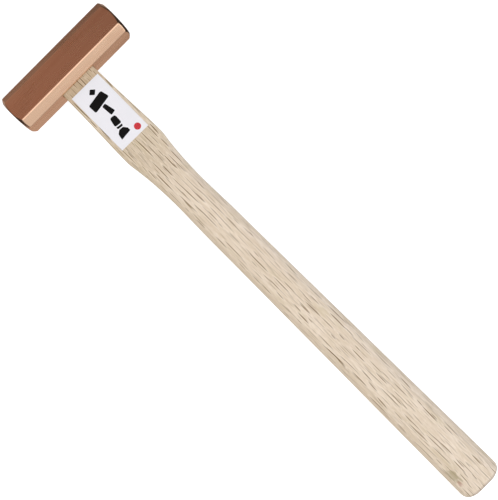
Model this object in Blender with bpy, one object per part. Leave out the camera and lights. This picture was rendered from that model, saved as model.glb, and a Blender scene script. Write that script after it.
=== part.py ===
"""Carving mallet: a small octagonal copper hammer head on an oak handle.

The mallet lies on its side. +X runs along the handle from the head to the butt,
+Y runs along the head and +Z points up. The origin is the middle of the head's
lower side flat, on which the head rests.

Four pieces come apart on a bench: the copper head, the oak handle whose tenon
fills the head's eye, the steel wedge that spreads the tenon, and the paper label
stuck to the handle's broad face. All dimensions are in metres.
"""

import math

import bmesh
import bpy
from mathutils import Vector

# Head: an octagonal bar, square stock with its four long corners cut away.
HEAD_LENGTH = 0.0706
HEAD_ACROSS_FLATS = 0.0200
HEAD_CORNER_CUT = 0.0040
HEAD_END_CHAMFER = 0.0008
HEAD_AXIS_HEIGHT = HEAD_ACROSS_FLATS / 2

# Fit: the gap kept between any two neighbouring pieces.
FIT_GAP = 0.0003

# Handle, measured from the head's axis. Each station gives its distance along the
# handle, the width across the broad face, the depth, and the corner radius.
# Past the last station, the butt closes in to a slightly crowned end.
# The eye, and so the whole handle, sits a little to one side of the head's middle.
HANDLE_OFFSET = -0.00055
HANDLE_END = 0.2970
BUTT_ROUNDING = 0.0060
TENON_WIDTH = 0.0210
TENON_DEPTH = 0.0099
TENON_CORNER = 0.0012
HANDLE_STATIONS = (
    (-HEAD_ACROSS_FLATS / 2, TENON_WIDTH, TENON_DEPTH, TENON_CORNER),
    (HEAD_ACROSS_FLATS / 2, TENON_WIDTH, TENON_DEPTH, TENON_CORNER),
    (0.0300, 0.0219, TENON_DEPTH, TENON_CORNER),
    (0.0500, 0.0233, TENON_DEPTH, 0.0018),
    (0.0565, 0.0235, 0.0106, 0.0022),
    (0.0640, 0.0217, 0.0120, 0.0030),
    (0.0740, 0.0199, 0.0140, 0.0045),
    (0.0880, 0.0190, 0.0156, 0.0060),
    (0.1080, 0.0199, 0.0160, 0.0063),
    (0.1280, 0.0202, 0.0163, 0.0065),
    (HANDLE_END - BUTT_ROUNDING, 0.0235, 0.0180, 0.0070),
)
RING_SPACING = 0.0060
CORNER_STEPS = 5
BUTT_SQUARENESS = 3.5
BUTT_FULLNESS = 0.42
BUTT_CROWN = 0.25
BUTT_RINGS = 7

# Wedge: flat steel, driven into the tenon's end at a slant.
WEDGE_WIDTH = 0.0130
WEDGE_LENGTH = 0.0150
WEDGE_THICK_END = 0.0024
WEDGE_THIN_END = 0.0006
WEDGE_SLANT = math.radians(18)

# Label: a paper sticker on the upper broad face, stuck on by hand a little askew.
LABEL_LENGTH = 0.0360
LABEL_WIDTH = 0.0181
LABEL_THICKNESS = 0.0002
LABEL_START = 0.0145
LABEL_OFFSET = 0.0002
LABEL_TILT = math.radians(-0.7)

SMOOTH_ANGLE = math.radians(35)


def clear_scene():
    for old in list(bpy.data.objects):
        bpy.data.objects.remove(old, do_unlink=True)


def new_collection(name):
    collection = bpy.data.collections.new(name)
    bpy.context.scene.collection.children.link(collection)
    return collection


def material(name, colour, roughness, metallic):
    made = bpy.data.materials.new(name)
    made.use_nodes = True
    shader = made.node_tree.nodes["Principled BSDF"]
    shader.inputs["Base Color"].default_value = (*colour, 1.0)
    shader.inputs["Roughness"].default_value = roughness
    shader.inputs["Metallic"].default_value = metallic
    return made


def new_object(name, bm, collection, surface=None):
    """Turn a bmesh into an object in the collection, with an optional material."""
    bmesh.ops.recalc_face_normals(bm, faces=bm.faces)
    mesh = bpy.data.meshes.new(name)
    bm.to_mesh(mesh)
    bm.free()
    made = bpy.data.objects.new(name, mesh)
    collection.objects.link(made)
    if surface:
        mesh.materials.append(surface)
    return made


def box(size):
    """A box of the given X, Y and Z size, centred on its origin."""
    bm = bmesh.new()
    bmesh.ops.create_cube(bm, size=1.0)
    bmesh.ops.scale(bm, vec=Vector(size), verts=bm.verts)
    return bm


def bevel(bm, edges, width, segments=1):
    bmesh.ops.bevel(
        bm, geom=edges, offset=width, offset_type="OFFSET", segments=segments,
        profile=0.5, affect="EDGES", clamp_overlap=True,
    )


def edges_along(bm, axis):
    """The edges that run parallel to one axis: 0 is X, 1 is Y and 2 is Z."""
    found = []
    for edge in bm.edges:
        run = (edge.verts[1].co - edge.verts[0].co).normalized()
        if abs(run[axis]) > 0.999:
            found.append(edge)
    return found


def cut(target, cutter):
    """Subtract a cutter object, which is kept as a wire guide."""
    cutter.hide_render = True
    cutter.display_type = "WIRE"
    boolean = target.modifiers.new("cut by " + cutter.name, "BOOLEAN")
    boolean.operation = "DIFFERENCE"
    boolean.solver = "EXACT"
    boolean.object = cutter


def section_at(along):
    """Width, depth and corner radius of the handle at a distance along it.

    Each value follows a cubic through the stations, whose slope at a station is
    that of the chord between its two neighbours, and is zero at a turning point.
    """
    spans = len(HANDLE_STATIONS) - 1
    index = max(i for i in range(spans) if HANDLE_STATIONS[i][0] <= along)
    start, end = HANDLE_STATIONS[index], HANDLE_STATIONS[index + 1]
    span = end[0] - start[0]
    t = (along - start[0]) / span
    values = []
    for column in range(1, len(start)):
        slope_in = station_slope(index, column)
        slope_out = station_slope(index + 1, column)
        values.append(
            start[column] * (2 * t**3 - 3 * t**2 + 1)
            + end[column] * (3 * t**2 - 2 * t**3)
            + span * slope_in * (t**3 - 2 * t**2 + t)
            + span * slope_out * (t**3 - t**2)
        )
    return values


def station_slope(index, column):
    before = HANDLE_STATIONS[max(index - 1, 0)]
    here = HANDLE_STATIONS[index]
    after = HANDLE_STATIONS[min(index + 1, len(HANDLE_STATIONS) - 1)]
    if (here[column] - before[column]) * (after[column] - here[column]) < 0:
        return 0.0
    return (after[column] - before[column]) / (after[0] - before[0])


def rounded_section(along, width, depth, corner):
    """One ring of points round the handle: a rectangle with round corners."""
    centre_y = width / 2 - corner
    centre_z = depth / 2 - corner
    ring = []
    for quarter, (side_y, side_z) in enumerate(((1, 1), (-1, 1), (-1, -1), (1, -1))):
        for step in range(CORNER_STEPS + 1):
            angle = math.pi / 2 * (quarter + step / CORNER_STEPS)
            y = side_y * centre_y + corner * math.cos(angle)
            z = side_z * centre_z + corner * math.sin(angle)
            ring.append(Vector((along, y, z)))
    return ring


def handle_rings():
    """The handle's cross-sections, from the tenon's end to the butt."""
    rings = [rounded_section(along, *section_at(along)) for along in body_places()]
    full = section_at(HANDLE_END - BUTT_ROUNDING)
    for step in range(BUTT_RINGS):
        # Even steps of angle put the rings closer together near the very end.
        to_end = BUTT_ROUNDING * (1 - math.sin(math.pi / 2 * step / BUTT_RINGS))
        closing = (1 - (1 - to_end / BUTT_ROUNDING) ** BUTT_SQUARENESS) ** BUTT_FULLNESS
        section = [value * closing for value in full]
        rings.append(rounded_section(HANDLE_END - to_end, *section))
    section = [value * BUTT_CROWN for value in full]
    rings.append(rounded_section(HANDLE_END, *section))
    return rings


def body_places():
    """Distances along the handle of its rings, up to where the butt's rounding begins."""
    places = [station[0] for station in HANDLE_STATIONS]
    filled = [places[0]]
    # The tenon is straight, so it has no rings between its two ends.
    for start, end in zip(places[1:], places[2:]):
        steps = math.ceil((end - start) / RING_SPACING)
        filled += [start + (end - start) * step / steps for step in range(steps)]
    return filled


def loft(rings):
    """A closed body through rings of equal point count, capped at both ends."""
    bm = bmesh.new()
    loops = [[bm.verts.new(point) for point in ring] for ring in rings]
    count = len(loops[0])
    for lower, upper in zip(loops, loops[1:]):
        for i in range(count):
            j = (i + 1) % count
            bm.faces.new((lower[i], lower[j], upper[j], upper[i]))
    bm.faces.new(reversed(loops[0]))
    bm.faces.new(loops[-1])
    return bm


def wedge_body(grow):
    """The wedge from its thick end at the origin, grown all round by a gap."""
    bm = box((WEDGE_LENGTH + grow, WEDGE_WIDTH + 2 * grow, 1.0))
    bmesh.ops.translate(bm, vec=((WEDGE_LENGTH + grow) / 2, 0, 0), verts=bm.verts)
    for vert in bm.verts:
        thin = vert.co.x > WEDGE_LENGTH / 2
        thickness = (WEDGE_THIN_END if thin else WEDGE_THICK_END) + 2 * grow
        vert.co.z = math.copysign(thickness / 2, vert.co.z)
    return bm


def make_head(parts, cutters, copper):
    bm = box((HEAD_ACROSS_FLATS, HEAD_LENGTH, HEAD_ACROSS_FLATS))
    bevel(bm, edges_along(bm, 1), HEAD_CORNER_CUT)
    ends = [edge for edge in bm.edges if edge not in set(edges_along(bm, 1))]
    bevel(bm, ends, HEAD_END_CHAMFER)
    head = new_object("head", bm, parts, copper)
    head.location = (0, 0, HEAD_AXIS_HEIGHT)

    eye_width = TENON_WIDTH + 2 * FIT_GAP
    eye_depth = TENON_DEPTH + 2 * FIT_GAP
    eye_run = HEAD_ACROSS_FLATS * 1.5
    bm = box((eye_run, eye_width, eye_depth))
    bevel(bm, edges_along(bm, 0), TENON_CORNER + FIT_GAP, CORNER_STEPS)
    eye = new_object("eye_cutter", bm, cutters)
    eye.location = (0, HANDLE_OFFSET, HEAD_AXIS_HEIGHT)
    cut(head, eye)
    return head


def make_handle(parts, cutters, oak):
    handle = new_object("handle", loft(handle_rings()), parts, oak)
    handle.location = (0, HANDLE_OFFSET, HEAD_AXIS_HEIGHT)
    handle.data.shade_smooth()
    handle.data.set_sharp_from_angle(angle=SMOOTH_ANGLE)

    bm = wedge_body(FIT_GAP)
    # The slot is open at the tenon's end, so its thick end reaches past it.
    for vert in bm.verts:
        if vert.co.x < WEDGE_LENGTH / 2:
            vert.co.x -= FIT_GAP
    slot = new_object("wedge_slot_cutter", bm, cutters)
    place_wedge(slot)
    cut(handle, slot)
    return handle


def place_wedge(piece):
    piece.location = (-HEAD_ACROSS_FLATS / 2, HANDLE_OFFSET, HEAD_AXIS_HEIGHT)
    piece.rotation_euler = (WEDGE_SLANT, 0, 0)


def make_wedge(parts, steel):
    wedge = new_object("wedge", wedge_body(0.0), parts, steel)
    place_wedge(wedge)
    return wedge


def make_label(parts, paper):
    label = new_object("label", box((LABEL_LENGTH, LABEL_WIDTH, LABEL_THICKNESS)), parts, paper)
    face = HEAD_AXIS_HEIGHT + TENON_DEPTH / 2
    label.location = (
        LABEL_START + LABEL_LENGTH / 2,
        HANDLE_OFFSET + LABEL_OFFSET,
        face + FIT_GAP + LABEL_THICKNESS / 2,
    )
    label.rotation_euler = (0, 0, LABEL_TILT)
    return label


def main():
    clear_scene()
    parts = new_collection("carving_mallet")
    cutters = new_collection("cutters")
    copper = material("copper", (0.62, 0.32, 0.20), 0.35, 1.0)
    oak = material("oak", (0.74, 0.60, 0.43), 0.60, 0.0)
    steel = material("steel", (0.55, 0.55, 0.56), 0.40, 1.0)
    paper = material("paper", (0.80, 0.79, 0.82), 0.70, 0.0)

    mallet = bpy.data.objects.new("mallet", None)
    parts.objects.link(mallet)
    pieces = [
        make_head(parts, cutters, copper),
        make_handle(parts, cutters, oak),
        make_wedge(parts, steel),
        make_label(parts, paper),
    ]
    for piece in pieces:
        piece.parent = mallet


main()
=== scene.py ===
"""Looks of the carving mallet: a small octagonal copper head on a pale oak handle.

Frame: +X along the handle from the head to the butt, +Y along the head, +Z up.
The head's lower side flat rests on the floor at Z = 0. Lengths are in metres, and
names ending in _MM are in millimetres.
"""

import math

import bmesh
import bpy
from mathutils import Euler, Matrix, Vector


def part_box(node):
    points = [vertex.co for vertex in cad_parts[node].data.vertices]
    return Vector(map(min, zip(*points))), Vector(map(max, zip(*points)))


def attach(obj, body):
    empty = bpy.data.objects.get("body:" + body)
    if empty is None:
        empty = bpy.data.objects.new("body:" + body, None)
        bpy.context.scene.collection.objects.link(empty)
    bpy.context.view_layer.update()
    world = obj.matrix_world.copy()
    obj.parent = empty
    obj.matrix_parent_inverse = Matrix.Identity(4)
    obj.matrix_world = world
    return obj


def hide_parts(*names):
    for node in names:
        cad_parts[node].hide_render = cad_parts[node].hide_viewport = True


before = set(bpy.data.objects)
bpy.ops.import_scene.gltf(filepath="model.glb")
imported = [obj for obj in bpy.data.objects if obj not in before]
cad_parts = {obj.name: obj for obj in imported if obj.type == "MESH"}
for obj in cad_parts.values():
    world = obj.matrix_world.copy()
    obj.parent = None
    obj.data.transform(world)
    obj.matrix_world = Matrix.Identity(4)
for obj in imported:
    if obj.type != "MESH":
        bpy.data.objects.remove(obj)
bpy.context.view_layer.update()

MM = 0.001

# ---- Places taken from the frame -------------------------------------------------
HEAD_LOW, HEAD_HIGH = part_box("head")
HANDLE_LOW, HANDLE_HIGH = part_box("handle")
HEAD_CENTRE = (HEAD_LOW + HEAD_HIGH) / 2
HANDLE_MIDDLE = (HANDLE_LOW.y + HANDLE_HIGH.y) / 2
HEAD_ACROSS = HEAD_HIGH.x - HEAD_LOW.x
HEAD_LENGTH = HEAD_HIGH.y - HEAD_LOW.y
HANDLE_END = HANDLE_HIGH.x

# ---- Camera ----------------------------------------------------------------------
# It looks straight down on the mallet's middle, with the handle towards the lower right.
LENS_MM = 50.0
CAMERA_AIM = Vector((0.1301, -0.0003, HEAD_CENTRE.z))
CAMERA_HEIGHT = 0.3512
HANDLE_ANGLE = math.radians(-44.8)

# ---- Studio ----------------------------------------------------------------------
FLOOR_RADIUS = 6.0
FLOOR_SIDES = 64
FLOOR_GREYS = ((0.48, 0.48, 0.48), (0.52, 0.52, 0.52))
FLOOR_GLOW = 0.80
# Soft boxes: name, direction, width and height, brightness, colour.
LIGHT_DISTANCE = 1.2
SOFT_BOXES = (
    ("overhead", (0.10, -0.10, 1.0), (1.4, 1.4), 0.07, (1.0, 1.0, 1.0)),
    ("left", (0.0, -1.0, 0.60), (1.6, 0.8), 0.71, (0.97, 1.03, 1.05)),
    ("right", (0.0, 1.0, 0.50), (1.6, 0.8), 0.79, (0.91, 0.955, 1.05)),
    ("behind", (-1.0, 0.0, 0.12), (1.2, 0.8), 0.40, (1.0, 1.0, 1.0)),
    ("in_front", (1.0, 0.0, 0.06), (1.2, 0.8), 0.22, (1.0, 1.0, 1.0)),
)
# The room round the mallet, dim apart from its panels. The metal mirrors it, and it
# adds a little to the light on the wood and the paper.
ROOM_DIM = (0.020, 0.018, 0.017)
# Panels: direction, degrees off it where the panel starts and where it is full, colour.
ROOM_PANELS = (
    # A wide pale panel beyond the butt, brightest high up and to one side.
    ((0.87, 0.00, 0.50), 68, 44, (0.66, 0.675, 0.69)),
    ((0.60, 0.00, 0.80), 30, 14, (0.66, 0.66, 0.70)),
    ((0.74, 0.66, 0.12), 32, 14, (0.80, 0.82, 0.86)),
    # Brown paper overhead, and a dark wall past the head.
    ((-0.36, -0.42, 0.83), 54, 8, (0.305, 0.177, 0.137)),
    ((-0.86, 0.00, 0.50), 30, 10, (0.20, 0.155, 0.14)),
    # The bench: light towards the butt, dimmer past the head.
    ((0.34, -0.30, -0.89), 46, 12, (0.50, 0.40, 0.34)),
    ((-0.90, -0.32, -0.24), 42, 8, (0.25, 0.180, 0.150)),
    ((-0.50, 0.55, -0.67), 34, 12, (0.30, 0.28, 0.26)),
    ((-0.50, -0.55, -0.67), 34, 12, (0.30, 0.28, 0.26)),
)

# ---- Head ------------------------------------------------------------------------
# An octagonal bar, whose striking faces a lathe has crowned and cut back to a cone.
HEAD_CORNER_CUT = 0.0040
EDGE_ROUNDING = 0.00050
EDGE_STEPS = 6
SECTION_STEP = 0.00025
END_FACE_RADIUS = 0.00955
END_CROWN = 0.00012
CROWN_PARTS = (0.04, 0.3, 0.6, 0.85)
END_FILLET = 0.00045
CONE_ANGLE = math.radians(37)
CONE_BULGE = 0.00006
CONE_STEPS = 36
CONE_BLEND = 0.00060
EYE_CLEARANCE = 0.00004
EYE_FLARE = 0.00030
HEAD_SHARP_ANGLE = math.radians(32)

# ---- Handle ----------------------------------------------------------------------
TENON_WIDTH = 0.0210
TENON_DEPTH = 0.0099
TENON_CORNER = 0.0012
BUTT_ROUNDING = 0.0060
BUTT_SQUARENESS = 3.5
BUTT_FULLNESS = 0.42
BUTT_CROWN = 0.12
# Stations: distance from the head's axis, width, depth, corner radius.
HANDLE_STATIONS = (
    (-HEAD_ACROSS / 2, TENON_WIDTH, TENON_DEPTH, TENON_CORNER),
    (HEAD_ACROSS / 2, TENON_WIDTH, TENON_DEPTH, TENON_CORNER),
    (0.0300, 0.0219, TENON_DEPTH, TENON_CORNER),
    (0.0500, 0.0233, TENON_DEPTH, 0.0018),
    (0.0565, 0.0235, 0.0106, 0.0022),
    (0.0640, 0.0217, 0.0120, 0.0030),
    (0.0740, 0.0199, 0.0140, 0.0045),
    (0.0880, 0.0190, 0.0156, 0.0060),
    (0.1080, 0.0199, 0.0160, 0.0063),
    (0.1280, 0.0202, 0.0163, 0.0065),
    (HANDLE_END - BUTT_ROUNDING, 0.0235, 0.0180, 0.0070),
)
STATION_SPACING = 0.0012
CORNER_STEPS = 10
FLAT_STEPS = 4
BUTT_RINGS = 18
HANDLE_SHARP_ANGLE = math.radians(40)

# ---- Wedge and label -------------------------------------------------------------
WEDGE_LENGTH = 0.0150
WEDGE_WIDTH = 0.0130
WEDGE_THICK_END = 0.0024
WEDGE_THIN_END = 0.0006
WEDGE_SLANT = math.radians(18)
SLOT_OVERRUN = 0.001
LABEL_LENGTH = 0.0360
LABEL_WIDTH = 0.0181
LABEL_START = 0.0145
LABEL_OFFSET = 0.0002
LABEL_TILT = math.radians(-0.7)
LABEL_LIFT = 0.00003
PAPER_THICKNESS = 0.00009
INK_LIFT = 0.00001
INK_THICKNESS = 0.00001
DISC_SIDES = 40

# ---- Copper ----------------------------------------------------------------------
# Colours here and below are linear reflectances.
COPPER_PALE = (0.96, 0.64, 0.44)
COPPER_DEEP = (0.90, 0.57, 0.38)
COPPER_TARNISH = (0.66, 0.38, 0.24)
COPPER_ROUGHNESS = 0.23
# How much tarnish shows at most: in clouds, in specks and in the turned rings.
CLOUD_TARNISH = 0.35
SPECK_TARNISH = 0.16
RING_TARNISH = 0.45
TURNING_PITCH_MM = 0.32
END_FINISH_START_MM = 34.2
END_FINISH_BLEND_MM = 0.4
GRIND_DEPTH = 0.0000012
DENT_DEPTH = 0.000030

# ---- Oak -------------------------------------------------------------------------
OAK_LIGHT = (0.82, 0.713, 0.583)
OAK_DARK = (0.72, 0.611, 0.483)
OAK_FIBRE = (0.62, 0.504, 0.352)
OAK_BRIGHT = (0.90, 0.798, 0.671)
OAK_LATE = (0.50, 0.415, 0.325)
OAK_PORE = (0.44, 0.33, 0.21)
OAK_OLIVE = (0.56, 0.465, 0.29)
OAK_RAY = (0.165, 0.089, 0.014)
# Painted shade: a grey darkening of the butt's end, its rounding and the tenon's end, which face
# along the handle.
ENDWISE_SHADE = (0.66, 0.64, 0.655)
GROWTH_RING_MM = 1.35
GROWTH_RING_SAG = 0.012
WANDER_MM = 2.6
WANDER_ACROSS = 0.45
RELIEF_DEPTH = 0.00006
# Rays: row height, cell length, half length and half width, all in millimetres, the
# share of the cells that hold one, and the seed.
LONG_RAYS = (2.15, 16.0, 7.9, 0.30, 0.82, 11.0)
SHORT_RAYS = (2.3, 9.8, 4.8, 0.28, 0.70, 37.0)
FAINT_RAYS = (1.3, 11.5, 5.7, 0.20, 0.66, 71.0)
LONG_RAY_STRENGTH = 0.95
SHORT_RAY_STRENGTH = 0.74
FAINT_RAY_STRENGTH = 0.46
RAY_SLOPES = (-0.055, 0.010)
RAY_TAPER = 2.5
# The shortest, the thinnest and the palest ray, as shares of the greatest.
SHORTEST_RAY = 0.36
THINNEST_RAY = 0.55
PALEST_RAY = 0.45
# The paler wood on either side of a ray.
RIM_WIDTH_MM = 0.60
RIM_STRENGTH = 0.45
SHORT_RIM_STRENGTH = 0.80
# Stains: colour, strength, and in millimetres the middle, half length and half width.
STAIN_OLIVE = (0.30, 0.25, 0.12)
STAIN_OLIVE_STRENGTH = 0.55
STAIN_OLIVE_MM = ((280.5, -8.4), 6.0, 2.4)
STAIN_BROWN = (0.46, 0.27, 0.20)
STAIN_BROWN_STRENGTH = 0.65
STAIN_BROWN_MM = ((285.6, -8.7), 1.8, 1.3)
# Painted shade near the head and on the neck: colour, and where along the handle it fades.
HEAD_SHADE_TINT = (0.84, 0.77, 0.69)
HEAD_SHADE_START_MM = 13.0
HEAD_SHADE_END_MM = 24.0
NECK_SHADE_TINT = (0.885, 0.875, 0.83)
NECK_SHADE_START_MM = 45.0
NECK_SHADE_END_MM = 95.0

# ---- Steel, paper and ink --------------------------------------------------------
STEEL_DULL = (0.42, 0.41, 0.40)
STEEL_OXIDE = (0.16, 0.11, 0.08)
FILE_MARK_DEPTH = 0.00002
PAPER_WHITE = (0.82, 0.815, 0.83)
PAPER_SHADE = (0.77, 0.765, 0.785)
PAPER_FIBRE_DEPTH = 0.000008
# Inks: colour where thin, colour where full, roughness.
BLACK_INK = ((0.010, 0.009, 0.009), (0.004, 0.004, 0.004), 0.50)
RED_INK = ((0.62, 0.075, 0.080), (0.52, 0.030, 0.040), 0.45)
INK_UNEVENNESS = 0.08


# ---- Node helpers ----------------------------------------------------------------
class Nodes:
    """A node tree, with one short call for each kind of node."""

    def __init__(self, tree):
        self.tree = tree

    def put(self, node, socket, value):
        """Link a socket to the input, or set the input's own value."""
        if isinstance(value, bpy.types.NodeSocket):
            self.tree.links.new(value, node.inputs[socket])
        else:
            node.inputs[socket].default_value = value

    def coords(self, scale=(1, 1, 1), rotation=(0, 0, 0), location=(0, 0, 0)):
        """Object coordinates in millimetres, turned, moved and stretched."""
        source = self.tree.nodes.new("ShaderNodeTexCoord").outputs["Object"]
        mapping = self.tree.nodes.new("ShaderNodeMapping")
        self.put(mapping, "Vector", source)
        mapping.inputs["Rotation"].default_value = rotation
        mapping.inputs["Location"].default_value = location
        mapping.inputs["Scale"].default_value = [value / MM for value in scale]
        return mapping.outputs["Vector"]

    def noise(self, vector, detail=3.0, roughness=0.5):
        node = self.tree.nodes.new("ShaderNodeTexNoise")
        self.put(node, "Vector", vector)
        self.put(node, "Scale", 1.0)
        self.put(node, "Detail", detail)
        self.put(node, "Roughness", roughness)
        return node.outputs["Fac"]

    def white_noise(self, vector, colour):
        node = self.tree.nodes.new("ShaderNodeTexWhiteNoise")
        node.noise_dimensions = "3D"
        self.put(node, "Vector", vector)
        return node.outputs["Color" if colour else "Value"]

    def normal(self):
        return self.tree.nodes.new("ShaderNodeNewGeometry").outputs["Normal"]

    def stretch(self, vector, scale, location=(0, 0, 0)):
        mapping = self.tree.nodes.new("ShaderNodeMapping")
        self.put(mapping, "Vector", vector)
        mapping.inputs["Location"].default_value = location
        mapping.inputs["Scale"].default_value = scale
        return mapping.outputs["Vector"]

    def math(self, operation, first, second=0.0):
        node = self.tree.nodes.new("ShaderNodeMath")
        node.operation = operation
        self.put(node, 0, first)
        self.put(node, 1, second)
        return node.outputs[0]

    def vector_math(self, operation, first, second=None):
        node = self.tree.nodes.new("ShaderNodeVectorMath")
        node.operation = operation
        self.put(node, 0, first)
        if second is not None:
            self.put(node, 1, second)
        return node.outputs["Value" if operation in ("LENGTH", "DOT_PRODUCT") else "Vector"]

    def range(self, value, low, high, to_low=0.0, to_high=1.0, smooth=True):
        node = self.tree.nodes.new("ShaderNodeMapRange")
        node.interpolation_type = "SMOOTHSTEP" if smooth else "LINEAR"
        self.put(node, "Value", value)
        self.put(node, "From Min", low)
        self.put(node, "From Max", high)
        self.put(node, "To Min", to_low)
        self.put(node, "To Max", to_high)
        return node.outputs["Result"]

    def mix(self, factor, first, second, blend="MIX"):
        node = self.tree.nodes.new("ShaderNodeMix")
        node.data_type = "RGBA"
        node.blend_type = blend
        self.put(node, "Factor", factor)
        for index, value in ((6, first), (7, second)):
            if not isinstance(value, bpy.types.NodeSocket):
                value = (*value, 1.0)
            self.put(node, index, value)
        return node.outputs[2]

    def axis(self, vector, index):
        node = self.tree.nodes.new("ShaderNodeSeparateXYZ")
        self.put(node, 0, vector)
        return node.outputs[index]

    def combine(self, x, y, z):
        node = self.tree.nodes.new("ShaderNodeCombineXYZ")
        for index, value in enumerate((x, y, z)):
            self.put(node, index, value)
        return node.outputs[0]

    def bump(self, height, distance, strength=1.0, normal=None):
        node = self.tree.nodes.new("ShaderNodeBump")
        self.put(node, "Height", height)
        self.put(node, "Distance", distance)
        self.put(node, "Strength", strength)
        if normal is not None:
            self.put(node, "Normal", normal)
        return node.outputs["Normal"]


class MaterialNodes(Nodes):
    """The node tree of a new material."""

    def __init__(self, name):
        self.material = bpy.data.materials.new(name)
        self.material.use_nodes = True
        super().__init__(self.material.node_tree)
        self.shader = self.tree.nodes["Principled BSDF"]

    def set(self, **sockets):
        """Set or link the shader's inputs, named with underscores for spaces."""
        for name, value in sockets.items():
            self.put(self.shader, name.replace("_", " "), value)


# ---- Materials -------------------------------------------------------------------
def copper_material():
    """Pale ground copper: drawn streaks along the bar and a lathe's rings on its ends."""
    n = MaterialNodes("copper")
    streaks = n.noise(n.coords(scale=(0.55, 0.012, 0.55)), detail=3.0, roughness=0.55)
    cloud = n.noise(n.coords(scale=(0.16, 0.06, 0.16), location=(3, 1, 7)), detail=4.0)
    speckle = n.noise(n.coords(scale=(2.6, 1.7, 2.6)), detail=3.0, roughness=0.65)
    scratch = n.noise(n.coords(scale=(11.0, 0.22, 11.0)), detail=2.0, roughness=0.6)

    tone = n.mix(n.range(streaks, 0.32, 0.68), COPPER_DEEP, COPPER_PALE)
    tone = n.mix(n.range(cloud, 0.45, 0.80, 0.0, CLOUD_TARNISH), tone, COPPER_TARNISH)
    tone = n.mix(n.range(speckle, 0.50, 0.85, 0.0, SPECK_TARNISH), tone, COPPER_TARNISH)

    worn = n.range(cloud, 0.3, 0.7, 0.0, 0.05)
    worn = n.math("ADD", n.range(scratch, 0.3, 0.7, -0.03, 0.03), worn)
    n.set(Roughness=n.math("ADD", worn, COPPER_ROUGHNESS))

    # The end faces are turned, so rings take the place of the streaks there.
    place = n.coords()
    x, y, z = (n.axis(place, index) for index in range(3))
    height = n.math("SUBTRACT", z, HEAD_CENTRE.z / MM)
    radius = n.vector_math("LENGTH", n.combine(x, 0.0, height))
    end_finish_full = END_FINISH_START_MM + END_FINISH_BLEND_MM
    on_end = n.range(n.math("ABSOLUTE", y), END_FINISH_START_MM, end_finish_full)
    outward = n.combine(n.math("MULTIPLY", radius, 1.7), 0.0, 0.0)
    bands = n.noise(outward, detail=4.0, roughness=0.7)
    worn_bands = n.range(bands, 0.35, 0.65, 0.0, RING_TARNISH)
    worn_bands = n.math("MULTIPLY", worn_bands, on_end)
    n.set(Base_Color=n.mix(worn_bands, tone, COPPER_TARNISH), Metallic=1.0, IOR=1.5)

    ring = n.math("SINE", n.math("MULTIPLY", radius, 2 * math.pi / TURNING_PITCH_MM))
    ring = n.math("ADD", n.math("MULTIPLY", ring, 1.6), n.range(bands, 0.3, 0.7, -4.0, 4.0))
    lines = n.range(scratch, 0.25, 0.75, -1.0, 1.0, smooth=False)
    grind = n.math("ADD", n.math("MULTIPLY", lines, n.math("SUBTRACT", 1.0, on_end)),
                   n.math("MULTIPLY", ring, on_end))
    fine = n.bump(grind, GRIND_DEPTH)
    n.set(Normal=n.bump(cloud, DENT_DEPTH, normal=fine))
    return n.material


def ray_dashes(n, place, row_height, cell_length, half_length, half_width, share, seed):
    """Lens-shaped dashes along X, in rows across Y, that run right through in Z.

    Each row has its own start and each cell at most one dash, of its own length,
    thickness and darkness; neighbours in a row tend to come together. These are the
    wood's rays, seen end-on on the broad face. Returns the dashes, and the paler wood
    on either side of each.
    """
    x, y = n.axis(place, 0), n.axis(place, 1)
    rows = n.math("ADD", n.math("DIVIDE", y, row_height), seed)
    row = n.math("FLOOR", rows)
    start = n.white_noise(n.combine(row, seed, 0.5), colour=False)
    cells = n.math("ADD", n.math("DIVIDE", x, cell_length), n.math("MULTIPLY", start, 7.0))
    cell = n.math("FLOOR", cells)
    chance = n.white_noise(n.combine(row, cell, seed), colour=True)
    size, lift, dark = (n.axis(chance, index) for index in range(3))
    present = n.white_noise(n.combine(cell, row, seed + 4.5), colour=False)
    crowd = n.combine(n.math("MULTIPLY", cell, 0.31), n.math("MULTIPLY", row, 5.3), seed)
    together = n.noise(crowd)

    reach = n.range(size, 0.0, 1.0, half_length * SHORTEST_RAY, half_length, smooth=False)
    thick = n.range(dark, 0.0, 1.0, half_width * THINNEST_RAY, half_width, smooth=False)
    middle = n.range(lift, 0.0, 1.0, 0.32, 0.68, smooth=False)
    across = n.math("SUBTRACT", n.math("FRACT", rows), middle)
    across = n.math("MULTIPLY", across, row_height)
    along = n.math("MULTIPLY", n.math("SUBTRACT", n.math("FRACT", cells), 0.5), cell_length)
    slope = n.range(size, 0.0, 1.0, *RAY_SLOPES, smooth=False)
    across = n.math("SUBTRACT", across, n.math("MULTIPLY", along, slope))
    taper = n.math("POWER", n.math("ABSOLUTE", n.math("DIVIDE", along, reach)), RAY_TAPER)
    edge = n.math("MULTIPLY", thick, n.math("SUBTRACT", 1.0, taper))
    inside = n.math("SUBTRACT", edge, n.math("ABSOLUTE", across))
    mask = n.range(inside, -half_width * 0.10, half_width * 0.30)
    strength = n.range(dark, 0.0, 1.0, PALEST_RAY, 1.0, smooth=False)
    limit = n.range(together, 0.30, 0.70, share * 0.45, share * 1.55, smooth=False)
    kept = n.math("MULTIPLY", n.math("LESS_THAN", present, limit), strength)
    rim = n.math("MULTIPLY", n.range(inside, -RIM_WIDTH_MM, -half_width * 0.5), kept)
    return n.math("MULTIPLY", mask, kept), rim


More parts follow.
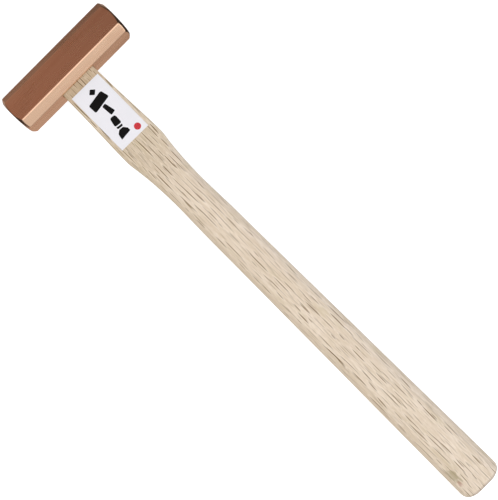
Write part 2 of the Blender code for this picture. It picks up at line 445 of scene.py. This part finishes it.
def stain(n, place, middle, half_length, half_width):
    """A soft blot on the upper face, with a ragged outline."""
    x, y = n.axis(place, 0), n.axis(place, 1)
    along = n.math("DIVIDE", n.math("SUBTRACT", x, middle[0]), half_length)
    across = n.math("DIVIDE", n.math("SUBTRACT", y, middle[1]), half_width)
    far = n.vector_math("LENGTH", n.combine(along, across, 0.0))
    ragged = n.noise(n.coords(scale=(0.45, 1.1, 1.1)), detail=3.0, roughness=0.6)
    far = n.math("ADD", far, n.range(ragged, 0.25, 0.75, -0.55, 0.55, smooth=False))
    upper = n.range(n.axis(place, 2), HEAD_CENTRE.z / MM, HEAD_CENTRE.z / MM + 3.0)
    return n.math("MULTIPLY", n.range(far, 1.0, 0.45), upper)


def wood_material():
    """Pale oak, sawn so that the rays show as dark dashes on its broad faces.

    The growth rings lie nearly level, so they show as long lines on the narrow sides
    and as broad, soft bands on the broad faces.
    """
    n = MaterialNodes("oak")
    place = n.coords()
    x, y, z = (n.axis(place, index) for index in range(3))

    # The grain wanders a little, more in its depth than across the broad face.
    wander = n.noise(n.coords(scale=(0.014, 0.03, 0.13)), detail=1.0)
    wander = n.range(wander, 0.0, 1.0, -WANDER_MM, WANDER_MM, smooth=False)
    flow = n.combine(x, n.math("ADD", y, n.math("MULTIPLY", wander, WANDER_ACROSS)), z)
    broad = n.math("ABSOLUTE", n.axis(n.normal(), 2))
    endwise = n.math("ABSOLUTE", n.axis(n.normal(), 0))

    sag = n.math("POWER", n.math("ABSOLUTE", y), 2.0)
    sag = n.math("MULTIPLY", sag, GROWTH_RING_SAG)
    depth = n.math("ADD", n.math("ADD", z, sag), wander)
    layers = n.combine(n.math("MULTIPLY", x, 0.006), n.math("MULTIPLY", y, 0.03),
                       n.math("MULTIPLY", depth, 0.85))
    rings = n.noise(layers, detail=3.0, roughness=0.65)
    late = n.math("FRACT", n.math("DIVIDE", depth, GROWTH_RING_MM))
    late = n.math("ABSOLUTE", n.math("SUBTRACT", late, 0.5))
    late = n.math("MULTIPLY", n.range(late, 0.12, 0.02), n.range(broad, 0.97, 0.85))
    fibres = n.noise(n.stretch(flow, (0.40, 2.4, 2.4)), detail=3.0, roughness=0.65)
    threads = n.noise(n.stretch(flow, (0.055, 0.85, 0.85), (3, 8, 5)), detail=2.0, roughness=0.5)
    pores = n.noise(n.stretch(flow, (0.42, 7.0, 7.0), (4, 2, 1)), detail=1.0, roughness=0.5)
    blotch = n.noise(n.coords(scale=(0.07, 0.25, 0.25), location=(5, 3, 2)), detail=2.0)

    tone = n.mix(n.range(rings, 0.34, 0.66), OAK_DARK, OAK_LIGHT)
    tone = n.mix(n.range(threads, 0.38, 0.62, 0.50, 0.0), tone, OAK_FIBRE)
    tone = n.mix(n.range(fibres, 0.34, 0.66, 0.42, 0.0), tone, OAK_FIBRE)
    tone = n.mix(n.range(fibres, 0.56, 0.74, 0.0, 0.45), tone, OAK_BRIGHT)
    late = n.math("MULTIPLY", late, n.range(threads, 0.3, 0.6, 0.22, 0.60))
    tone = n.mix(late, tone, OAK_LATE)
    pore = n.range(pores, 0.60, 0.72)
    tone = n.mix(n.math("MULTIPLY", pore, 0.30), tone, OAK_PORE)
    tone = n.mix(n.range(blotch, 0.56, 0.76, 0.0, 0.40), tone, OAK_OLIVE)

    # Rays show as dashes on the broad faces only, and fade round the corners.
    long_dashes, long_rims = ray_dashes(n, flow, *LONG_RAYS)
    short_dashes, short_rims = ray_dashes(n, flow, *SHORT_RAYS)
    faint_dashes, _ = ray_dashes(n, flow, *FAINT_RAYS)
    rims = n.math("MAXIMUM", long_rims, n.math("MULTIPLY", short_rims, SHORT_RIM_STRENGTH))
    rims = n.math("MULTIPLY", rims, n.range(broad, 0.40, 0.90, 0.0, RIM_STRENGTH))
    tone = n.mix(rims, tone, OAK_BRIGHT)
    rays = n.math("MULTIPLY", long_dashes, LONG_RAY_STRENGTH)
    rays = n.math("MAXIMUM", rays, n.math("MULTIPLY", short_dashes, SHORT_RAY_STRENGTH))
    rays = n.math("MAXIMUM", rays, n.math("MULTIPLY", faint_dashes, FAINT_RAY_STRENGTH))
    rays = n.math("MULTIPLY", rays, n.range(broad, 0.40, 0.90, 0.08, 1.0))
    tone = n.mix(rays, tone, OAK_RAY)

    # Two blots near the butt, and painted shade: a grey darkening of the faces that look along
    # the handle.
    blot = n.math("MULTIPLY", stain(n, place, *STAIN_OLIVE_MM), STAIN_OLIVE_STRENGTH)
    tone = n.mix(blot, tone, STAIN_OLIVE)
    blot = n.math("MULTIPLY", stain(n, place, *STAIN_BROWN_MM), STAIN_BROWN_STRENGTH)
    tone = n.mix(blot, tone, STAIN_BROWN)
    tone = n.mix(n.range(endwise, 0.15, 0.65), tone, ENDWISE_SHADE, "MULTIPLY")

    # Painted shade: the wood next to the copper is darkened for the head's shadow and the warm
    # light it throws back.
    near = n.range(x, HEAD_SHADE_END_MM, HEAD_SHADE_START_MM)
    tone = n.mix(near, tone, HEAD_SHADE_TINT, "MULTIPLY")
    # Painted shade: the neck is darkened where its slope turns away from the light.
    neck = n.range(x, NECK_SHADE_END_MM, NECK_SHADE_START_MM)
    tone = n.mix(neck, tone, NECK_SHADE_TINT, "MULTIPLY")
    n.set(Base_Color=tone, IOR=1.45, Specular_IOR_Level=0.35)
    n.set(Roughness=n.range(fibres, 0.3, 0.7, 0.52, 0.66))

    relief = n.math("SUBTRACT", n.math("MULTIPLY", fibres, 0.5), n.math("MULTIPLY", pore, 0.6))
    relief = n.math("SUBTRACT", relief, n.math("MULTIPLY", rays, 0.25))
    n.set(Normal=n.bump(relief, RELIEF_DEPTH, strength=0.8))
    return n.material


def steel_material():
    """Dull steel with a film of brown oxide, cut off flush and dressed by file."""
    n = MaterialNodes("steel")
    file_marks = n.noise(n.coords(scale=(1.0, 1.6, 14.0), rotation=(0.5, 0, 0)), detail=2.0)
    oxide = n.noise(n.coords(scale=(0.8, 0.8, 0.8)), detail=4.0, roughness=0.6)
    tone = n.mix(n.range(oxide, 0.45, 0.75, 0.0, 0.8), STEEL_DULL, STEEL_OXIDE)
    n.set(Base_Color=tone, Metallic=1.0)
    n.set(Roughness=n.range(oxide, 0.3, 0.7, 0.38, 0.58))
    n.set(Normal=n.bump(file_marks, FILE_MARK_DEPTH))
    return n.material


def paper_material():
    """Smooth coated white paper, a little blue, with a faint fibre."""
    n = MaterialNodes("paper")
    fibre = n.noise(n.coords(scale=(2.2, 3.1, 1.0)), detail=4.0, roughness=0.65)
    cloud = n.noise(n.coords(scale=(0.12, 0.15, 0.1)), detail=2.0)
    tone = n.mix(n.range(fibre, 0.3, 0.7), PAPER_SHADE, PAPER_WHITE)
    tone = n.mix(n.range(cloud, 0.4, 0.7, 0.0, 0.5), tone, PAPER_SHADE)
    n.set(Base_Color=tone, IOR=1.48)
    n.set(Roughness=n.range(fibre, 0.3, 0.7, 0.42, 0.52))
    n.set(Normal=n.bump(fibre, PAPER_FIBRE_DEPTH, strength=0.6))
    return n.material


def ink_material(name, thin, full, roughness):
    """Printed ink, a little uneven where it covers the paper's fibre."""
    n = MaterialNodes(name)
    cover = n.noise(n.coords(scale=(2.4, 2.4, 1.0)), detail=4.0, roughness=0.7)
    n.set(Base_Color=n.mix(n.range(cover, 0.3, 0.6), thin, full), Specular_IOR_Level=0.12)
    n.set(Roughness=n.range(cover, 0.3, 0.7, roughness + INK_UNEVENNESS, roughness))
    return n.material


# ---- Mesh helpers ----------------------------------------------------------------
def mesh_piece(name, bm, material, slot, *replaced):
    """Make a piece of the object from a bmesh in the row frame."""
    bmesh.ops.recalc_face_normals(bm, faces=bm.faces)
    mesh = bpy.data.meshes.new(name)
    bm.to_mesh(mesh)
    bm.free()
    piece = bpy.data.objects.new(name, mesh)
    bpy.context.scene.collection.objects.link(piece)
    mesh.materials.append(material)
    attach(piece, "root")
    if replaced:
        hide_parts(*replaced)
    return piece


def box(size):
    """A box of the given X, Y and Z size, centred on its origin."""
    bm = bmesh.new()
    bmesh.ops.create_cube(bm, size=1.0)
    bmesh.ops.scale(bm, vec=Vector(size), verts=bm.verts)
    return bm


def cut_out(piece, cutter_bm):
    """Cut a shape out of a piece, for good."""
    mesh = bpy.data.meshes.new("cutter")
    cutter_bm.to_mesh(mesh)
    cutter_bm.free()
    cutter = bpy.data.objects.new("cutter", mesh)
    bpy.context.scene.collection.objects.link(cutter)
    boolean = piece.modifiers.new("cut", "BOOLEAN")
    boolean.operation = "DIFFERENCE"
    boolean.solver = "EXACT"
    boolean.object = cutter
    apply_modifiers(piece)
    bpy.data.objects.remove(cutter)


def apply_modifiers(piece):
    """Turn the piece, with its modifiers, into a plain mesh."""
    bpy.context.view_layer.update()
    graph = bpy.context.evaluated_depsgraph_get()
    final = bpy.data.meshes.new_from_object(piece.evaluated_get(graph))
    piece.modifiers.clear()
    piece.data = final


def loft(rings):
    """A closed body through rings of equal point count, capped at both ends."""
    bm = bmesh.new()
    loops = [[bm.verts.new(point) for point in ring] for ring in rings]
    count = len(loops[0])
    for lower, upper in zip(loops, loops[1:]):
        for i in range(count):
            j = (i + 1) % count
            bm.faces.new((lower[i], lower[j], upper[j], upper[i]))
    bm.faces.new(reversed(loops[0]))
    bm.faces.new(loops[-1])
    return bm


def rounded_polygon(corners, radius, steps=6):
    """An outline with each of its corners rounded off by an arc-like curve."""
    outline = []
    for index, corner in enumerate(corners):
        here = Vector(corner)
        before, after = Vector(corners[index - 1]), Vector(corners[(index + 1) % len(corners)])
        reach = min(radius, (before - here).length / 2, (after - here).length / 2)
        start = here + (before - here).normalized() * reach
        end = here + (after - here).normalized() * reach
        for step in range(steps + 1):
            t = step / steps
            point = start * (1 - t) ** 2 + here * 2 * t * (1 - t) + end * t**2
            outline.append((point.x, point.y))
    return outline


# ---- Head ------------------------------------------------------------------------
def head_section():
    """The bar's octagonal outline in X and Z about its axis, with softened corners."""
    half = HEAD_ACROSS / 2
    short = half - HEAD_CORNER_CUT
    quarter = [(half, -short), (half, short)]
    corners = []
    for turn in range(4):
        cos, sin = (1, 0, -1, 0)[turn], (0, 1, 0, -1)[turn]
        corners += [(x * cos - z * sin, x * sin + z * cos) for x, z in quarter]
    rounded = rounded_polygon(corners, EDGE_ROUNDING, EDGE_STEPS)
    points = [Vector(point) for point in rounded]
    outline = []
    for start, end in zip(points, points[1:] + points[:1]):
        steps = max(1, round((end - start).length / SECTION_STEP))
        outline += [start.lerp(end, step / steps) for step in range(steps)]
    return outline


def turned_profile():
    """Radius and distance from the end, from the crowned face out along the cone."""
    profile = [(END_FACE_RADIUS * part, END_CROWN * part**2) for part in CROWN_PARTS]
    reach = END_FILLET * math.tan(CONE_ANGLE / 2)
    for step in range(EDGE_STEPS + 1):
        turn = CONE_ANGLE * step / EDGE_STEPS
        radius = END_FACE_RADIUS - reach + END_FILLET * math.sin(turn)
        profile.append((radius, END_CROWN + END_FILLET * (1 - math.cos(turn))))
    start_radius, start_depth = profile[-1]
    corner_radius = math.hypot(HEAD_ACROSS / 2, HEAD_ACROSS / 2 - HEAD_CORNER_CUT)
    run = corner_radius + CONE_BLEND - start_radius
    for step in range(1, CONE_STEPS + 1):
        part = step / CONE_STEPS
        bulge = CONE_BULGE * 4 * part * (1 - part)
        depth = start_depth + run * part * math.tan(CONE_ANGLE)
        profile.append((start_radius + run * part + bulge, depth))
    return profile


def soft_minimum(first, second, blend):
    """The smaller of two lengths, with the step between them rounded off."""
    overlap = max(blend - abs(first - second), 0.0) / blend
    return min(first, second) - overlap**2 * blend / 4


def turned_bar():
    """The octagonal bar with the cones and crowned faces that a lathe cut on its ends."""
    section = head_section()
    profile = turned_profile()
    stations = [(radius, depth - HEAD_LENGTH / 2) for radius, depth in profile]
    stations += [(radius, HEAD_LENGTH / 2 - depth) for radius, depth in reversed(profile)]
    rings = []
    for radius, along in stations:
        ring = []
        for point in section:
            kept = soft_minimum(point.length, radius, CONE_BLEND) / point.length
            ring.append(HEAD_CENTRE + Vector((point.x * kept, along, point.y * kept)))
        rings.append(ring)
    return loft(rings)


def eye_cutter():
    """The eye right through the head, with a small flare at both of its mouths."""
    sections = []
    for along, flare in (
        (HEAD_LOW.x - EYE_FLARE, 2 * EYE_FLARE),
        (HEAD_LOW.x + EYE_FLARE, 0.0),
        (HEAD_HIGH.x - EYE_FLARE, 0.0),
        (HEAD_HIGH.x + EYE_FLARE, 2 * EYE_FLARE),
    ):
        grow = EYE_CLEARANCE + flare
        width, depth = TENON_WIDTH + 2 * grow, TENON_DEPTH + 2 * grow
        sections.append(rounded_section(along, width, depth, TENON_CORNER + grow))
    bm = loft(sections)
    bmesh.ops.recalc_face_normals(bm, faces=bm.faces)
    return bm


def make_head(copper):
    head = mesh_piece("copper_head", turned_bar(), copper, "copper", "head")
    cut_out(head, eye_cutter())
    head.data.shade_smooth()
    head.data.set_sharp_from_angle(angle=HEAD_SHARP_ANGLE)
    return head


# ---- Handle ----------------------------------------------------------------------
def section_at(along):
    """Width, depth and corner radius of the handle at a distance along it.

    Each value follows a cubic through the stations, whose slope at a station is
    that of the chord between its two neighbours, and is zero at a turning point.
    """
    spans = len(HANDLE_STATIONS) - 1
    index = max(i for i in range(spans) if HANDLE_STATIONS[i][0] <= along)
    start, end = HANDLE_STATIONS[index], HANDLE_STATIONS[index + 1]
    span = end[0] - start[0]
    t = (along - start[0]) / span
    values = []
    for column in range(1, len(start)):
        slope_in = station_slope(index, column)
        slope_out = station_slope(index + 1, column)
        values.append(
            start[column] * (2 * t**3 - 3 * t**2 + 1)
            + end[column] * (3 * t**2 - 2 * t**3)
            + span * slope_in * (t**3 - 2 * t**2 + t)
            + span * slope_out * (t**3 - t**2)
        )
    return values


def station_slope(index, column):
    """How fast one value changes along the handle at a station."""
    before = HANDLE_STATIONS[max(index - 1, 0)]
    here = HANDLE_STATIONS[index]
    after = HANDLE_STATIONS[min(index + 1, len(HANDLE_STATIONS) - 1)]
    if (here[column] - before[column]) * (after[column] - here[column]) < 0:
        return 0.0
    return (after[column] - before[column]) / (after[0] - before[0])


def rounded_section(along, width, depth, corner):
    """One ring of points round the handle: a rectangle with round corners."""
    centre_y = width / 2 - corner
    centre_z = depth / 2 - corner
    arcs = []
    for quarter, (side_y, side_z) in enumerate(((1, 1), (-1, 1), (-1, -1), (1, -1))):
        arc = []
        for step in range(CORNER_STEPS + 1):
            angle = math.pi / 2 * (quarter + step / CORNER_STEPS)
            y = side_y * centre_y + corner * math.cos(angle)
            z = side_z * centre_z + corner * math.sin(angle)
            arc.append(Vector((along, HANDLE_MIDDLE + y, HEAD_CENTRE.z + z)))
        arcs.append(arc)
    ring = []
    for arc, following in zip(arcs, arcs[1:] + arcs[:1]):
        ring += arc
        ring += [arc[-1].lerp(following[0], step / FLAT_STEPS) for step in range(1, FLAT_STEPS)]
    return ring


def handle_rings():
    """The handle's cross-sections, from the tenon's end to the butt."""
    start, body_end = HANDLE_STATIONS[0][0], HANDLE_END - BUTT_ROUNDING
    steps = round((body_end - start) / STATION_SPACING)
    places = [start + (body_end - start) * step / steps for step in range(steps)]
    rings = [rounded_section(along, *section_at(along)) for along in places]
    full = section_at(body_end)
    for step in range(BUTT_RINGS):
        to_end = BUTT_ROUNDING * (1 - math.sin(math.pi / 2 * step / BUTT_RINGS))
        closing = (1 - (1 - to_end / BUTT_ROUNDING) ** BUTT_SQUARENESS) ** BUTT_FULLNESS
        section = [value * closing for value in full]
        rings.append(rounded_section(HANDLE_END - to_end, *section))
    section = [value * BUTT_CROWN for value in full]
    rings.append(rounded_section(HANDLE_END, *section))
    return rings


def wedge_shape(overrun):
    """The wedge in its slot, with its thick end this far past the tenon's end."""
    bm = box((WEDGE_LENGTH, WEDGE_WIDTH, 1.0))
    for vert in bm.verts:
        thin = vert.co.x > 0
        vert.co.x += WEDGE_LENGTH / 2 - (0 if thin else overrun)
        thickness = WEDGE_THIN_END if thin else WEDGE_THICK_END
        vert.co.z = math.copysign(thickness / 2, vert.co.z)
    place = Matrix.Translation((HEAD_LOW.x, HANDLE_MIDDLE, HEAD_CENTRE.z))
    turn = Euler((WEDGE_SLANT, 0, 0)).to_matrix().to_4x4()
    bmesh.ops.transform(bm, matrix=place @ turn, verts=bm.verts)
    return bm


def make_handle(wood):
    handle = mesh_piece("oak_handle", loft(handle_rings()), wood, "oak", "handle")
    cut_out(handle, wedge_shape(SLOT_OVERRUN))
    handle.data.shade_smooth()
    handle.data.set_sharp_from_angle(angle=HANDLE_SHARP_ANGLE)
    return handle


def make_wedge(steel):
    return mesh_piece("steel_wedge", wedge_shape(0.0), steel, "steel", "wedge")


# ---- Label -----------------------------------------------------------------------
def label_matrix(height):
    """From the label's own frame, with its origin at its middle, to the row frame."""
    place = Vector((
        LABEL_START + LABEL_LENGTH / 2,
        HANDLE_MIDDLE + LABEL_OFFSET,
        HEAD_CENTRE.z + TENON_DEPTH / 2 + height,
    ))
    return Matrix.Translation(place) @ Euler((0, 0, LABEL_TILT)).to_matrix().to_4x4()


def make_label(paper):
    bm = box((LABEL_LENGTH, LABEL_WIDTH, PAPER_THICKNESS))
    middle = LABEL_LIFT + PAPER_THICKNESS / 2
    bmesh.ops.transform(bm, matrix=label_matrix(middle), verts=bm.verts)
    return mesh_piece("paper_label", bm, paper, "paper", "label")


def ink_piece(name, outlines, material):
    """Flat closed shapes on the label, from outlines in its own frame, in millimetres."""
    bm = bmesh.new()
    for outline in outlines:
        floor = [bm.verts.new((x * MM, y * MM, 0)) for x, y in outline]
        roof = [bm.verts.new((x * MM, y * MM, INK_THICKNESS)) for x, y in outline]
        bm.faces.new(reversed(floor))
        bm.faces.new(roof)
        for i in range(len(outline)):
            j = (i + 1) % len(outline)
            bm.faces.new((floor[i], floor[j], roof[j], roof[i]))
    height = LABEL_LIFT + PAPER_THICKNESS + INK_LIFT
    bmesh.ops.transform(bm, matrix=label_matrix(height), verts=bm.verts)
    return mesh_piece(name, bm, material, "paper")


def turned_outline(outline, angle, place):
    """Turn an outline about its origin and move it to its place."""
    cos, sin = math.cos(angle), math.sin(angle)
    return [(x * cos - y * sin + place[0], x * sin + y * cos + place[1]) for x, y in outline]


def disc(radius, place):
    """A round outline."""
    angles = [2 * math.pi * side / DISC_SIDES for side in range(DISC_SIDES)]
    return [(radius * math.cos(a) + place[0], radius * math.sin(a) + place[1]) for a in angles]


def mallet_sign():
    """A plain drawing of a mallet: a stubby head and its handle."""
    head = rounded_polygon(((-5.6, -4.9), (-0.7, -5.4), (-0.7, 5.4), (-5.6, 4.9)), 1.0)
    handle = rounded_polygon(((-0.1, -1.1), (6.0, -1.5), (6.0, 1.5), (-0.1, 1.1)), 0.6)
    return [head, handle]


def chisel_sign():
    """A plain drawing of a chisel: its handle, its collar and its blade."""
    handle = rounded_polygon(((-5.8, -1.6), (-0.8, -2.1), (-0.8, 2.1), (-5.8, 1.6)), 1.1)
    collar = rounded_polygon(((-0.2, -1.8), (0.9, -1.5), (0.9, 1.5), (-0.2, 1.8)), 0.2)
    blade = ((1.5, -1.2), (3.2, -2.9), (6.3, -3.1), (4.9, 3.1), (3.2, 2.9), (1.5, 1.2))
    return [handle, collar, rounded_polygon(blade, 0.35)]


def make_label_marks():
    """Plain signs: a lozenge, a mallet and a chisel in black, and a red dot."""
    black = ink_material("ink_black", *BLACK_INK)
    red = ink_material("ink_red", *RED_INK)
    mallet = [turned_outline(shape, math.radians(9), (-4.6, 0.1)) for shape in mallet_sign()]
    chisel = [turned_outline(shape, math.radians(-7), (8.2, -1.5)) for shape in chisel_sign()]
    lozenge = [rounded_polygon(((-15.0, 0.6), (-13.2, -1.5), (-11.4, 0.6), (-13.2, 2.7)), 0.4)]
    ink_piece("label_mark_mallet", mallet, black)
    ink_piece("label_mark_chisel", chisel, black)
    ink_piece("label_mark_lozenge", lozenge, black)
    ink_piece("label_mark_dot", [disc(1.8, (14.6, 4.9))], red)


# ---- Studio ----------------------------------------------------------------------
def soft_box(name, direction, size, brightness, colour):
    """A rectangular area light that faces the mallet from a direction.

    A white matt surface that faces it reaches about the given brightness. Neither the
    camera nor a mirroring surface sees it.
    """
    lamp = bpy.data.lights.new(name, "AREA")
    lamp.shape = "RECTANGLE"
    lamp.size, lamp.size_y = size
    lamp.energy = brightness * math.pi**2 * LIGHT_DISTANCE**2
    lamp.color = colour
    lit = bpy.data.objects.new(name, lamp)
    bpy.context.scene.collection.objects.link(lit)
    away = Vector(direction).normalized()
    lit.location = CAMERA_AIM + away * LIGHT_DISTANCE
    lit.rotation_euler = away.to_track_quat("Z", "Y").to_euler()
    lit.visible_camera = False
    lit.visible_glossy = False


def make_world():
    """The room round the mallet: warm and dim, with panels. The camera sees plain white."""
    world = bpy.data.worlds.new("studio")
    bpy.context.scene.world = world
    world.use_nodes = True
    n = Nodes(world.node_tree)
    view = n.tree.nodes.new("ShaderNodeTexCoord").outputs["Generated"]
    total = None
    for direction, start_angle, full_angle, colour in ROOM_PANELS:
        facing = n.vector_math("DOT_PRODUCT", view, tuple(Vector(direction).normalized()))
        start = math.cos(math.radians(start_angle))
        full = math.cos(math.radians(full_angle))
        panel = n.mix(n.range(facing, start, full), (0, 0, 0), colour)
        total = panel if total is None else n.mix(1.0, total, panel, "ADD")
    total = n.mix(1.0, total, ROOM_DIM, "ADD")
    is_camera = n.tree.nodes.new("ShaderNodeLightPath").outputs["Is Camera Ray"]
    total = n.mix(is_camera, total, (1.0, 1.0, 1.0))
    n.put(n.tree.nodes["Background"], "Color", total)


def make_floor():
    """A wide matt floor that glows white. It neither shows in the metal nor lights the wood."""
    bm = bmesh.new()
    bmesh.ops.create_circle(bm, cap_ends=True, radius=FLOOR_RADIUS, segments=FLOOR_SIDES)
    mesh = bpy.data.meshes.new("floor")
    bm.to_mesh(mesh)
    bm.free()
    floor = bpy.data.objects.new("floor", mesh)
    bpy.context.scene.collection.objects.link(floor)
    n = MaterialNodes("floor_white")
    grain = n.noise(n.coords(scale=(0.02, 0.02, 0.02)), detail=2.0)
    n.set(Base_Color=n.mix(grain, *FLOOR_GREYS), Roughness=0.9, Specular_IOR_Level=0.0)
    n.set(Emission_Color=(1.0, 1.0, 1.0, 1.0), Emission_Strength=FLOOR_GLOW)
    mesh.materials.append(n.material)
    floor.visible_glossy = False
    floor.visible_diffuse = False


def make_camera():
    data = bpy.data.cameras.new("camera")
    data.lens = LENS_MM
    camera = bpy.data.objects.new("camera", data)
    bpy.context.scene.collection.objects.link(camera)
    camera.location = CAMERA_AIM + Vector((0.0, 0.0, CAMERA_HEIGHT))
    camera.rotation_euler = (0.0, 0.0, -HANDLE_ANGLE)
    bpy.context.scene.camera = camera


def main():
    bpy.context.scene.view_settings.view_transform = "Standard"
    make_camera()
    make_world()
    make_floor()
    for lamp in SOFT_BOXES:
        soft_box(*lamp)
    make_head(copper_material())
    make_handle(wood_material())
    make_wedge(steel_material())
    make_label(paper_material())
    make_label_marks()


main()
